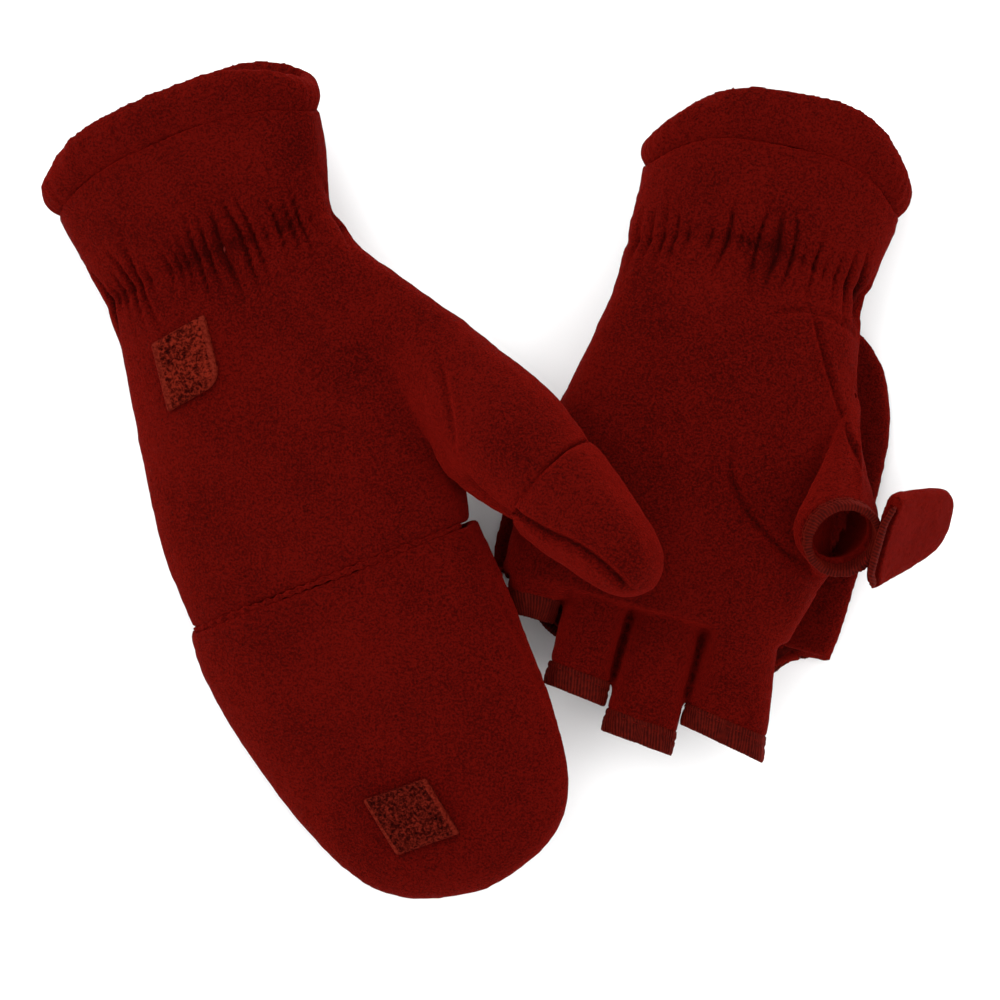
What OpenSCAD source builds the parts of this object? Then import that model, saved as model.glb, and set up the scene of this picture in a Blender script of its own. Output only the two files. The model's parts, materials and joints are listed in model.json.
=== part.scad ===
// A pair of convertible flip-top mittens in brushed fleece, lying on a table.
// The left glove lies palm up on its own folded-back cap. The right mitten lies back up with
// its caps closed, tilted so that its thumb side leans over the left glove's fingers.
//
// Each glove is drawn in its own frame: +Y runs from the cuff edge to the fingertips, the thumb
// is on the -X side, and +Z leaves the back of the hand. The left glove is mirrored in Z.

/* [Fabric] */
// Thickness of the outer fleece
fleece_t = 2.4; // [2.2:0.1:2.6]
// Thickness of the soft lining
lining_t = 1.2; // [0.8:0.1:1.3]
// Thickness of the wrist elastic
elastic_t = 0.8; // [0.5:0.1:0.8]
// Thickness of the knitted binding that edges every opening
binding_t = 1.6; // [1.2:0.1:1.8]
// Thickness of each hook or loop patch
patch_t = 1.2; // [0.8:0.1:1.3]

/* [Hand] */
// Width of the cuff at its edge
cuff_w = 79; // [76:1:82]
// Width at the elastic wrist
wrist_w = 67.5; // [66:0.5:69]
// Width across the palm
palm_w = 86.5; // [85:0.5:88]
// Width where the cap is hinged
knuckle_w = 81; // [80:0.5:82]
// Thickness of the open cuff
cuff_t = 30; // [28:1:31]
// Thickness at the wrist
wrist_t = 24; // [22:1:25]
// Distance from the cuff edge to the wrist elastic
wrist_y = 35; // [34:1:36]
// Distance from the cuff edge to the cap hinge
hinge_y = 131; // [130:1:132]
// Height of the back of the hand above the middle plane
back_h = 15; // [14.5:0.5:15]
// Length of the turned cuff hem
hem_len = 10; // [8:1:11]
// Thickness of the turned cuff hem
hem_t = 6; // [5:0.5:6.5]

/* [Caps] */
// Length of the mitt cap from its hinge to its tip
cap_len = 96; // [94:1:97]
// How far the palm side of the cap reaches past the hinge line
cap_lip = 13; // [8:1:14]
// Length of the thumb cap
thumb_cap_len = 42; // [38:1:44]
// Thickness of a folded, empty mitt cap
flat_cap_t = 8; // [8:0.2:8.4]
// Thickness of a folded, empty thumb cap
flat_thumb_cap_t = 7.4; // [7.4:0.1:8]

/* [Pose] */
// Tilt of the right mitten about its length
right_tilt = 16; // [15:0.5:18]
// Turn of the right mitten on the table
right_turn = 21.4; // [20:0.2:23]
// Turn of the left glove on the table
left_turn = -15; // [-16:0.5:-14]
// How far the left thumb cap is folded back from closed
left_thumb_open = 125; // [110:1:130]

/* [Hidden] */
RIGHT = 0;
LEFT = 1;
sides = ["right", "left"];
fingers = ["index", "middle", "ring", "little"];
hand_parts = ["back_panel", "palm_panel", "back_lining", "palm_lining", "cuff", "cuff_hem",
    "wrist_elastic", "index_stall", "middle_stall", "ring_stall", "little_stall",
    "finger_bindings", "thumb_stall", "thumb_binding", "hook_patch", "cap_seam"];
cap_parts = ["cap_back", "cap_back_lining", "cap_palm", "cap_palm_lining", "cap_binding",
    "loop_patch", "thumb_cap_back", "thumb_cap_pad", "thumb_cap_binding"];

fleece = [0.36, 0.05, 0.03];
lining = [0.28, 0.03, 0.02];
knit = [0.45, 0.10, 0.07];
velcro = [0.25, 0.03, 0.02];
rubber = [0.75, 0.72, 0.66];

// Clearances and small sizes
seam_gap = 0.3;
layer_gap = 0.1;
seam_r = 0.9;
lip_bead_r = 1.2;
lip_bead_at = 3;
lip_ends = 0.2;
hinge_rise = 1.2;
panel_end = hinge_y - 1;
cap_start = hinge_y + 1.2;
lining_in = fleece_t + elastic_t + 2 * layer_gap;
elastic_w = 5;
// Exponents of a rounded and of a flattened section, and what makes the flattened one flat
soft = 0.8;
boxy = 0.5;
flat_gain = 1.06;

// Per-glove values, as [right, left]
cuff_spread = [1, 0.93];
cuff_bulge = [12, 19];
// Fullness of that bow toward its ends, and how far it leans to the thumb side
cuff_bow = 3.4;
cuff_lean = [1, 3];
side_scale = [1 / cos(right_tilt), 1];
left_height = back_h + 2 * hinge_rise + flat_cap_t;
left_droop = 11;
droop_end = 52;

// Hand sections: distance from the cuff, centre, half width, height of back, depth of palm
hand = [
    [0, 1, cuff_w / 2, cuff_t / 2, cuff_t / 2],
    [12, 1.3, cuff_w / 2 - 1.2, cuff_t / 2 - 0.5, cuff_t / 2 - 0.5],
    [24, 2, wrist_w / 2 + 2.5, wrist_t / 2 + 1.5, wrist_t / 2 + 1.5],
    [wrist_y, 2.7, wrist_w / 2, wrist_t / 2, wrist_t / 2],
    [50, 1, wrist_w / 2 + 2.3, wrist_t / 2 + 1, wrist_t / 2 + 1.5],
    [70, 0.3, palm_w / 2 - 3, back_h - 0.5, back_h + 1],
    [90, 1.3, palm_w / 2 - 0.5, back_h, back_h + 1],
    [110, 3.2, palm_w / 2, back_h, back_h - 0.5],
    [hinge_y, 5.5, knuckle_w / 2, back_h, back_h - 3]
];

// Finger stalls of the right mitten, close together inside its cap, and of the left glove, spread:
// centre and half width at the palm, the same at the hem, half thickness, distance of the hem
// from the cuff, sag at the hem, slant of the hem, and extra half thickness at the palm
stalls = [
    [
        [-21.6, 9.2, -20.4, 10.9, 8.4, 158, 0, 0, 0],
        [-2.7, 9, 0.8, 9, 8.4, 166, 0, 0, 0],
        [17, 9.2, 20.8, 9.1, 8.6, 157, 0, 0, 0],
        [35.2, 7.8, 36, 7, 7.2, 141, 0, 0, 0]
    ],
    [
        [-23, 10.6, -24.8, 12.4, 8.4, 161, 1.5, 0.18, 0.6],
        [-1.8, 10.3, -1.9, 10.3, 8.4, 167, 1.2, 0.09, 1],
        [18.3, 9.3, 18.2, 9, 8.6, 158.5, 1.5, 0.12, 1],
        [36, 8, 36.2, 7.2, 7.2, 141, 3.5, 0, 1.4]
    ]
];
stall_start = hinge_y + 0.3;
finger_binding_w = 6.5;

// Thumb hole in the side of the hand: middle and half length along Y, and half height
hole_y = 82;
hole_len = 31;
hole_h = 11;
// Middle of each thumb opening, the thumb's direction, and its outer radius there
thumb_mouth = [[-71.5, 131, 14], [-43, 98, -27]];
thumb_spread = [25, 45];
thumb_lift = [9, -60];
thumb_r = [12.4, 11];
thumb_knuckle_r = [16, 12.5];
// Height of each thumb's section over its width
thumb_flat = [0.84, 1];
thumb_knuckle = [-26, -9];
thumb_binding_w = 5;

// Mitt cap sections, from the hinge to where the rounded tip starts
tip_len = 36;
tip_y = hinge_y + cap_len - tip_len;
open_cap = [
    [hinge_y, 5.7, 42.3, back_h, back_h + 4.5],
    [hinge_y + 11, 6, 43.5, back_h, back_h + 2.5],
    [hinge_y + 29, 4.7, 42.7, back_h - 1, back_h],
    [hinge_y + 46, 2.7, 40.3, back_h - 2.5, back_h - 2.5],
    [tip_y, 0.9, 38.2, back_h - 4.5, back_h - 4.5]
];
flat_cap_lean = 5;
flat_cap = [for (r = open_cap) [r[0], r[1] - flat_cap_lean, r[2] + 6, flat_cap_t / 2, flat_cap_t / 2]];
cap_lean = -3;
// Thumb cap sections, in the thumb's own frame
thumb_tip_len = 18;
flat_thumb_tip_len = 13;
thumb_tip_y = thumb_cap_len - thumb_tip_len;
thumb_cap_h = [for (s = [RIGHT, LEFT]) thumb_r[s] * thumb_flat[s] + fleece_t + 0.4];
open_thumb = [
    [0, 0, 15.6, thumb_cap_h[RIGHT], 14],
    [thumb_tip_y / 2, 0, 14.4, thumb_cap_h[RIGHT] - 0.4, 13],
    [thumb_tip_y, 0, 12.4, 11.5, 11.5]
];
flat_thumb = [for (r = open_thumb) [r[0], 0, r[2] - 1.6, flat_thumb_cap_t / 2, flat_thumb_cap_t / 2]];
thumb_lip = 3.5;

// A pouch is [sections, tip length, lean of the tip, middle height, squareness, lip, side scale]
cap_pouch = [
    [open_cap, tip_len, cap_lean, 0, soft, cap_lip, side_scale[RIGHT]],
    [flat_cap, tip_len, cap_lean, back_h - flat_cap_t / 2, boxy, cap_lip, 1]
];
thumb_pouch = [
    [open_thumb, thumb_tip_len, 0, 0, soft, thumb_lip, 1],
    [flat_thumb, flat_thumb_tip_len, 0, thumb_cap_h[LEFT] - flat_thumb_cap_t / 2, boxy, thumb_lip, 1]
];

// Where each glove stands on the table, and the shift that centres the pair
pair_shift = [-3.7, -1.3, 0];
right_at = [-89.3, 98.9, 25.4];
left_at = [78.8, 90.6, left_height];

hand_rows = [wrist_y + 0.2, 43, 51.5, 58, 66, 82, 98, 106, 112.5, 121, panel_end];
cuff_rows = [hem_len + layer_gap, 14, 20, 27, wrist_y - elastic_w / 2, wrist_y];
lining_rows = concat([12, 20, 27, wrist_y - elastic_w / 2, wrist_y, wrist_y + elastic_w / 2],
    [for (y = hand_rows) if (y > wrist_y + elastic_w) y]);
hand_cols = 15;
cap_rows = [[cap_start, 0], [hinge_y + 11, 0], [hinge_y + 29, 0], [hinge_y + 46, 0], [tip_y, 0],
    [tip_y, 28], [tip_y, 50], [tip_y, 70], [tip_y, 89]];
thumb_cap_rows = [[0.6, 0], [thumb_tip_y / 2, 0], [thumb_tip_y, 0],
    [thumb_tip_y, 35], [thumb_tip_y, 62], [thumb_tip_y, 89]];
cap_cols = 13;
thumb_cols = 9;
bead_cols = 6;

// ---- small functions ----

function mix(a, b, t) = a + (b - a) * t;
function clip(t) = max(0, min(1, t));
function smooth(t) = let(u = clip(t)) u * u * (3 - 2 * u);
function bend(c, e) = sign(c) * pow(abs(c), e);
function unit(v) = v / norm(v);

// Row of a section table that holds distance y
function find_row(t, y, i = 0) = (i >= len(t) - 2 || y < t[i + 1][0]) ? i : find_row(t, y, i + 1);
function slope(t, i, k) =
    let(a = max(i - 1, 0), b = min(i + 1, len(t) - 1)) (t[b][k] - t[a][k]) / (t[b][0] - t[a][0]);
// Smooth curve through column k of a section table
function at(t, y, k) =
    let(i = find_row(t, y), d = t[i + 1][0] - t[i][0], u = (y - t[i][0]) / d)
    (2 * u ^ 3 - 3 * u ^ 2 + 1) * t[i][k] + (u ^ 3 - 2 * u ^ 2 + u) * d * slope(t, i, k)
        + (3 * u ^ 2 - 2 * u ^ 3) * t[i + 1][k] + (u ^ 3 - u ^ 2) * d * slope(t, i + 1, k);

// ---- surfaces: each returns a point for a place along, a place round and a depth under ----

function spread(s, y) = mix(cuff_spread[s], 1, smooth(y / 60));
function sag(s, y) = s == LEFT ? left_droop * (1 - smooth(y / droop_end)) : 0;
// The left cuff is flat where it lies on the table
function on_table(s, z, g) = s == LEFT ? min(z, left_height - max(g, 0)) : z;

// The hand at distance y, angle a from the little-finger side, and depth g
function hand_point(s, y, a, g) =
    let(w = at(hand, y, 2) * spread(s, y) - g, h = at(hand, y, a <= 180 ? 3 : 4) - g,
        across = bend(cos(a), soft), fade = clip(1 - y / wrist_y))
    [(at(hand, y, 1) + w * across) * side_scale[s],
        y - fade * (cuff_bulge[s] * (1 - pow(abs(across), cuff_bow)) - cuff_lean[s] * across),
        on_table(s, h * bend(sin(a), soft) + sag(s, y), g)];

// Half height of the thumb hole at distance y
function hole_at(y) = hole_h * sqrt(clip(1 - ((y - hole_y) / hole_len) ^ 2));
// Angle at which the hand's panel meets the thumb hole
function hole_angle(s, y, k) = asin(pow(clip(hole_at(y) / at(hand, y, k)), 1 / soft));
function back_point(s) = function (y, c, g)
    hand_point(s, y, mix(seam_gap, 180 - seam_gap - hole_angle(s, y, 3), c), g);
function palm_point(s) = function (y, c, g)
    hand_point(s, y, mix(180 + seam_gap + hole_angle(s, y, 4), 360 - seam_gap, c), g);
function tube_point(s) = function (y, c, g) hand_point(s, y, 360 * c, g);

// Height of the back of the hand over a place
function back_z(s, x, y) =
    let(u = (x / side_scale[s] - at(hand, y, 1)) / at(hand, y, 2))
    at(hand, y, 3) * pow(clip(1 - pow(abs(u), 2 / soft)), soft / 2);

function stall_point(s, f) = function (y, c, g)
    let(k = stalls[s][f], u = (y - hinge_y) / (k[5] - hinge_y), a = 360 * c)
    let(across = (mix(k[1], k[3], u) - g) * bend(cos(a), soft))
    let(half_t = k[4] + k[8] * (1 - smooth(2 * u)))
    [(mix(k[0], k[2], u) + across) * side_scale[s],
        y - k[7] * u * across, (half_t - g) * bend(sin(a), soft) + k[6] * u];

// The thumb's own frame: its direction, the side with the hinge, and the side toward the fingers
function thumb_dir(s) =
    [-sin(thumb_spread[s]) * cos(thumb_lift[s]), cos(thumb_spread[s]) * cos(thumb_lift[s]),
        sin(thumb_lift[s])];
function thumb_up(s) =
    let(u = thumb_dir(s), d = s == RIGHT ? [0, 0, 1] : [-1, 0, 0]) unit(d - (d * u) * u);
function thumb_in(s) = cross(thumb_dir(s), thumb_up(s));
function thumb_ring(s, d, r, a) =
    thumb_mouth[s] + d * thumb_dir(s)
        + r * (cos(a) * thumb_in(s) + thumb_flat[s] * sin(a) * thumb_up(s));
// The edge of the thumb hole, on the side of the hand
function thumb_root(s, a, g) =
    let(y = hole_y + (hole_len - g) * cos(a), z = (hole_h - g) * sin(a),
        u = pow(clip(1 - pow(abs(z) / at(hand, y, z > 0 ? 3 : 4), 2 / soft)), soft / 2))
    [(at(hand, y, 1) - at(hand, y, 2) * u) * side_scale[s] - seam_gap, y, z];
// v runs 0 to 1 from the hand to the knuckle and 1 to 2 from there to the opening
function thumb_point(s) = function (v, c, g)
    let(a = 360 * c, k = thumb_ring(s, thumb_knuckle[s], thumb_knuckle_r[s] - g, a))
    v <= 1 ? mix(thumb_root(s, a, g), k, v)
        : mix(k, thumb_ring(s, -thumb_binding_w, thumb_r[s] - g, a), v - 1);

// One point of a pouch. A row is [place along, angle round the tip], and angle -1 is the lip
function pouch_point(p, row, a, g) =
    let(b = max(row[1], 0), t = p[0], y = row[0],
        w = (at(t, y, 2) - g) * pow(cos(b), 0.85),
        h = (at(t, y, a <= 180 ? 3 : 4) - g) * pow(cos(b), 0.6),
        lip = row[1] < 0 ? p[5] * smooth((abs(sin(a)) - 0.7) / 0.3) : 0,
        rise = bend(sin(a), p[4]) * (p[4] == boxy ? flat_gain : 1))
    [(at(t, y, 1) + p[2] * sin(b) + w * bend(cos(a), p[4])) * p[6],
        y + (p[1] - g) * sin(b) - lip, p[3] + h * max(-1, min(1, rise))];
function pouch_back(p) = function (r, c, g) pouch_point(p, r, mix(seam_gap, 180 - seam_gap, c), g);
function pouch_palm(p) = function (r, c, g)
    pouch_point(p, r, mix(180 + seam_gap, 360 - seam_gap, c), g);
// Height of the back of a pouch over a place
function pouch_z(p, x, y) =
    let(t = p[0], tip = t[len(t) - 1][0], b = asin(clip((y - tip) / p[1])), j = min(y, tip),
        u = (x / p[6] - at(t, j, 1) - p[2] * sin(b)) / (at(t, j, 2) * pow(cos(b), 0.85)),
        rise = pow(clip(1 - pow(abs(u), 2 / p[4])), p[4] / 2) * (p[4] == boxy ? flat_gain : 1))
    p[3] + at(t, j, 3) * pow(cos(b), 0.6) * min(1, rise);

// ---- solids ----

function quad(a, b, c, d, flip) = flip ? [[a, b, c], [a, c, d]] : [[a, c, b], [a, d, c]];

// A curved wall between depths g_out and g_in of a surface
module wall(skin, rows, n, g_out, g_in, loop = false) {
    m = len(rows);
    last = loop ? n - 1 : n - 2;
    function id(k, j, i) = (k * m + j) * n + i % n;
    points = [for (g = [g_out, g_in]) for (r = rows) for (i = [0 : n - 1])
        skin(r, i / (loop ? n : n - 1), g)];
    skins = [for (k = [0, 1]) for (j = [0 : m - 2]) for (i = [0 : last])
        each quad(id(k, j, i), id(k, j, i + 1), id(k, j + 1, i + 1), id(k, j + 1, i), k == 0)];
    ends = [for (j = [0, m - 1]) for (i = [0 : last])
        each quad(id(0, j, i), id(0, j, i + 1), id(1, j, i + 1), id(1, j, i), j != 0)];
    edges = loop ? [] : [for (i = [0, n - 1]) for (j = [0 : m - 2])
        each quad(id(0, j, i), id(0, j + 1, i), id(1, j + 1, i), id(1, j, i), i == 0)];
    polyhedron(points = points, faces = concat(skins, ends, edges));
}

// A bead that runs round a surface: profile(c, b) is its point at place c and bead angle b
module bead(profile, n, loop = false) {
    k = bead_cols;
    last = loop ? n - 1 : n - 2;
    function id(i, j) = (i % n) * k + j % k;
    points = [for (i = [0 : n - 1]) for (j = [0 : k - 1])
        profile(i / (loop ? n : n - 1), 360 * j / k)];
    skin = [for (i = [0 : last]) for (j = [0 : k - 1])
        each quad(id(i, j), id(i + 1, j), id(i + 1, j + 1), id(i, j + 1), true)];
    ends = loop ? [] : [for (j = [1 : k - 2])
        each [[id(0, 0), id(0, j), id(0, j + 1)], [id(n - 1, 0), id(n - 1, j + 1), id(n - 1, j)]]];
    polyhedron(points = points, faces = concat(skin, ends));
}

// A small plate that lies on a curved back: height(x, y) is the surface under it
module plate(height, centre, size, turn, low, high) {
    steps = [0 : 3];
    place = function (v, c, g)
        let(u = (c - 0.5) * size[0], w = (v / 3 - 0.5) * size[1],
            x = centre[0] - u * cos(turn) + w * sin(turn), y = centre[1] + u * sin(turn) + w * cos(turn))
        [x, y, height(x, y) + g];
    wall(place, [0, 1, 2, 3], 4, high, low);
}

// ---- placing ----

module place(s) {
    translate(pair_shift)
        if (s == RIGHT)
            translate(right_at) rotate([0, 0, 180 + right_turn]) rotate([0, right_tilt, 0]) children();
        else
            translate(left_at) rotate([0, 0, 180 + left_turn]) mirror([0, 0, 1]) children();
}

// The left cap is folded over onto the back of the hand
module place_cap(s) {
    hinge = [0, hinge_y, back_h + hinge_rise];
    place(s)
        if (s == LEFT) translate(hinge) rotate([180, 0, 0]) translate(-hinge) children();
        else children();
}

module place_thumb_cap(s) {
    x = thumb_in(s);
    y = thumb_dir(s);
    z = thumb_up(s);
    o = thumb_mouth[s];
    hinge = [0, -thumb_binding_w, thumb_cap_h[s] + hinge_rise / 2];
    frame = [[x[0], y[0], z[0], o[0]], [x[1], y[1], z[1], o[1]], [x[2], y[2], z[2], o[2]]];
    place(s) multmatrix(frame)
        translate(hinge) rotate([s == LEFT ? left_thumb_open : 0, 0, 0])
        translate([0, 0, -hinge[2]]) children();
}

// ---- sub-parts of the hand ----

module back_panel(s) color(fleece) place(s) wall(back_point(s), hand_rows, hand_cols, 0, fleece_t);
module palm_panel(s) color(fleece) place(s) wall(palm_point(s), hand_rows, hand_cols, 0, fleece_t);
module back_lining(s) color(lining) place(s)
    wall(back_point(s), lining_rows, hand_cols, lining_in, lining_in + lining_t);
module palm_lining(s) color(lining) place(s)
    wall(palm_point(s), lining_rows, hand_cols, lining_in, lining_in + lining_t);
module cuff(s) color(fleece) place(s)
    wall(tube_point(s), cuff_rows, 2 * hand_cols, 0, fleece_t, true);
module cuff_hem(s) {
    profile = function (c, b) hand_point(s, hem_len / 2 - hem_len / 2 * cos(b),
        360 * c, 1 - hem_t / 2 * sin(b));
    color(fleece) place(s) bead(profile, 2 * hand_cols, true);
}
module wrist_elastic(s) color(rubber) place(s)
    wall(tube_point(s), [wrist_y - elastic_w / 2, wrist_y, wrist_y + elastic_w / 2], 2 * hand_cols,
        fleece_t + layer_gap, fleece_t + layer_gap + elastic_t, true);

module stall(s, f) {
    end = stalls[s][f][5] - finger_binding_w;
    color(fleece) place(s) wall(stall_point(s, f), [stall_start, mix(stall_start, end, 0.5), end], 14,
        0.4, 0.4 + fleece_t, true);
}
module finger_bindings(s) color(knit) place(s)
    for (f = [0 : 3]) {
        end = stalls[s][f][5];
        wall(stall_point(s, f), [end - finger_binding_w + layer_gap, end - 1, end], 14,
            0.2, 0.2 + binding_t, true);
    }

module thumb_stall(s) color(fleece) place(s)
    wall(thumb_point(s), [0, 0.33, 0.67, 1, 1.5, 2], 16, 0, fleece_t, true);
module thumb_binding(s) {
    ring = function (v, c, g) thumb_ring(s, v, thumb_r[s] - g, 360 * c);
    color(knit) place(s)
        wall(ring, [layer_gap - thumb_binding_w, -1, 0], 16, 0, binding_t, true);
}

module hook_patch(s) color(velcro) place(s)
    plate(function (x, y) back_z(s, x, y), [19, 61], [16, 20], 6, 0.3, 0.3 + patch_t);
// The welt that joins the cap to the back of the hand
module cap_seam(s) {
    profile = function (c, b)
        hand_point(s, hinge_y - seam_r * cos(b), mix(14, 166, c), -seam_r * sin(b) + 0.3);
    color(knit) place(s) bead(profile, 18);
}

// ---- sub-parts of the caps ----

module cap_back(s) color(fleece) place_cap(s)
    wall(pouch_back(cap_pouch[s]), cap_rows, cap_cols, 0, fleece_t);
module cap_back_lining(s) color(lining) place_cap(s)
    wall(pouch_back(cap_pouch[s]), cap_rows, cap_cols, fleece_t + layer_gap, fleece_t + lining_t);
lip_rows = concat([[hinge_y, -1]], cap_rows);
module cap_palm(s) color(fleece) place_cap(s)
    wall(pouch_palm(cap_pouch[s]), lip_rows, cap_cols, 0, fleece_t);
module cap_palm_lining(s) color(lining) place_cap(s)
    wall(pouch_palm(cap_pouch[s]), lip_rows, cap_cols, fleece_t + layer_gap, fleece_t + lining_t);
// The knitted edge along the lip of a pouch
module lip_binding(p, start, n) {
    at_lip = pouch_palm(p);
    profile = function (c, b)
        at_lip([start, -1], mix(lip_ends, 1 - lip_ends, c), lip_bead_r + layer_gap - lip_bead_r * sin(b))
            - [0, lip_bead_at + binding_t * cos(b), 0];
    bead(profile, n);
}
module cap_binding(s) color(knit) place_cap(s) lip_binding(cap_pouch[s], hinge_y, 2 * cap_cols);
module loop_patch(s) color(velcro) place_cap(s)
    plate(function (x, y) pouch_z(cap_pouch[s], x, y), [7, 2 * hinge_y - 61], [17, 18], -6,
        0.3, 0.3 + patch_t);

module thumb_cap_back(s) color(fleece) place_thumb_cap(s)
    wall(pouch_back(thumb_pouch[s]), thumb_cap_rows, thumb_cols, 0, fleece_t);
thumb_lip_rows = concat([[0, -1]], thumb_cap_rows);
module thumb_cap_pad(s) color(fleece) place_thumb_cap(s)
    wall(pouch_palm(thumb_pouch[s]), thumb_lip_rows, thumb_cols, 0, fleece_t);
module thumb_cap_binding(s) color(knit) place_thumb_cap(s)
    lip_binding(thumb_pouch[s], 0, 2 * thumb_cols);

module sub_part(s, name) {
    if (name == "back_panel") back_panel(s);
    if (name == "palm_panel") palm_panel(s);
    if (name == "back_lining") back_lining(s);
    if (name == "palm_lining") palm_lining(s);
    if (name == "cuff") cuff(s);
    if (name == "cuff_hem") cuff_hem(s);
    if (name == "wrist_elastic") wrist_elastic(s);
    for (f = [0 : 3]) if (name == str(fingers[f], "_stall")) stall(s, f);
    if (name == "finger_bindings") finger_bindings(s);
    if (name == "thumb_stall") thumb_stall(s);
    if (name == "thumb_binding") thumb_binding(s);
    if (name == "hook_patch") hook_patch(s);
    if (name == "cap_seam") cap_seam(s);
    if (name == "cap_back") cap_back(s);
    if (name == "cap_back_lining") cap_back_lining(s);
    if (name == "cap_palm") cap_palm(s);
    if (name == "cap_palm_lining") cap_palm_lining(s);
    if (name == "cap_binding") cap_binding(s);
    if (name == "loop_patch") loop_patch(s);
    if (name == "thumb_cap_back") thumb_cap_back(s);
    if (name == "thumb_cap_pad") thumb_cap_pad(s);
    if (name == "thumb_cap_binding") thumb_cap_binding(s);
}

for (s = [RIGHT, LEFT]) for (part = concat(hand_parts, cap_parts))
    sub_part(s, part);
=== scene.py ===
"""Convertible flip-top mittens: fleece, bindings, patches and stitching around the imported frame."""
import json
import math

import bmesh
import bpy
import numpy as np
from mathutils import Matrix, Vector
from mathutils.bvhtree import BVHTree


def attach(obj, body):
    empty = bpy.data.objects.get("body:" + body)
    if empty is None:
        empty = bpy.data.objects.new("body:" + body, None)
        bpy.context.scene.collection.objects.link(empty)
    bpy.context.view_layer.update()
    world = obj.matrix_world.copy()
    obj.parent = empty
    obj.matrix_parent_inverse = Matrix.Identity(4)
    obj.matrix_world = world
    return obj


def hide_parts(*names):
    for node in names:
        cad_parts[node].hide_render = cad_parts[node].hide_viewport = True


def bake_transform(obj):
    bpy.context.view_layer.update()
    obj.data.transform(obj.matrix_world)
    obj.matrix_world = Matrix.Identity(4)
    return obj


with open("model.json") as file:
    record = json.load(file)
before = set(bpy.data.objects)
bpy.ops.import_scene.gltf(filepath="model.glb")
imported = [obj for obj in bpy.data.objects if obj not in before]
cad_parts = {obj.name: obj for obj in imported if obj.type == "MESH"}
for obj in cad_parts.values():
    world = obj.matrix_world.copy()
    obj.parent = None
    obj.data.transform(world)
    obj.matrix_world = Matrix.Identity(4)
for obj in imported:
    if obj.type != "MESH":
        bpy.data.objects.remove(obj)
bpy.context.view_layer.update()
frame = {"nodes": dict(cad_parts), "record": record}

MM = 0.001
SIDES = ("right", "left")
TAU = 2 * math.pi

# Where each wrist mount lies in its own glove's frame, in millimetres.
WRIST_MOUNT = {"right": (1, 4, 0), "left": (1, 4, 9)}

# The line of the elastic in each glove's frame: its height at the sides, and how far its middle bows
# towards the cuff.
ELASTIC_Y = {"right": 37.5, "left": 32.5}
ELASTIC_BOW = {"right": 2.5, "left": 8.0}
WRIST_HALF_W = 34.0

RECORD = frame["record"]
BODY_OF = {node: body for body, nodes in RECORD["behaviour"]["bodies"].items() for node in nodes}


# ---------------------------------------------------------------- the gloves' own frames

class Glove:
    """One glove's frame: +Y from cuff to fingertips, the thumb at -X, +Z out of the back of the hand."""

    def __init__(self, side):
        hinge = next(j for j in RECORD["behaviour"]["joints"] if j["name"] == side + "_cap_flip")
        mount = next(m for m in RECORD["mounts"] if m["name"] == side + "_wrist_opening")
        y = -np.array(mount["axis"], float)
        y /= np.linalg.norm(y)
        x = np.array(hinge["axis"], float)
        x -= x.dot(y) * y
        x /= np.linalg.norm(x)
        z = np.cross(x, y) * (1 if side == "right" else -1)
        self.side = side
        self.axes = np.stack([x, y, z])
        self.origin = np.array(mount["pos_m"], float) - MM * (np.array(WRIST_MOUNT[side]) @ self.axes)
        self.hinge = self.local(np.array([hinge["pos_m"]], float))[0]

    def local(self, points):
        return (points - self.origin) @ self.axes.T / MM

    def world(self, points):
        return points * MM @ self.axes + self.origin

    def node(self, name):
        return self.side + "_" + name

    def nodes(self, *names):
        return [self.node(n) for n in names]


# ---------------------------------------------------------------- numbers

def step(low, high, value):
    """0 below low, 1 above high, and smooth between them."""
    t = np.clip((value - low) / (high - low), 0, 1)
    return t * t * (3 - 2 * t)


def hill(value, width):
    """1 where the value is 0, falling smoothly away on both sides."""
    return np.exp(-(value / width) ** 2)


def lattice(ix, iy, iz, seed):
    """A fixed pseudo-random number from -1 to 1 at each lattice point."""
    h = (ix * 73856093) ^ (iy * 19349663) ^ (iz * 83492791) ^ (seed * 40503)
    h = (h ^ (h >> 13)) * 1274126177
    h = (h ^ (h >> 16)) & 0xFFFF
    return h / 32767.5 - 1


def noise(points, size, seed=0):
    """Smooth noise from -1 to 1, with lumps of about the given size."""
    q = points / size
    base = np.floor(q).astype(np.int64)
    f = q - base
    f = f * f * (3 - 2 * f)
    total = np.zeros(len(points))
    for dx in (0, 1):
        for dy in (0, 1):
            for dz in (0, 1):
                w = ((f[:, 0] if dx else 1 - f[:, 0]) * (f[:, 1] if dy else 1 - f[:, 1])
                     * (f[:, 2] if dz else 1 - f[:, 2]))
                total += w * lattice(base[:, 0] + dx, base[:, 1] + dy, base[:, 2] + dz, seed)
    return total


def distance_to_path(x, y, path):
    """Distance in the XY plane to a path, and how far along it, from 0 to 1, the nearest point is."""
    best = np.full(len(x), 1e9)
    along = np.zeros(len(x))
    path = np.array(path, float)
    for i in range(len(path) - 1):
        a, b = path[i], path[i + 1]
        d = b - a
        t = np.clip(((x - a[0]) * d[0] + (y - a[1]) * d[1]) / d.dot(d), 0, 1)
        gap = np.hypot(x - a[0] - t * d[0], y - a[1] - t * d[1])
        nearer = gap < best
        best = np.where(nearer, gap, best)
        along = np.where(nearer, (i + t) / (len(path) - 1), along)
    return best, along


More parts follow.
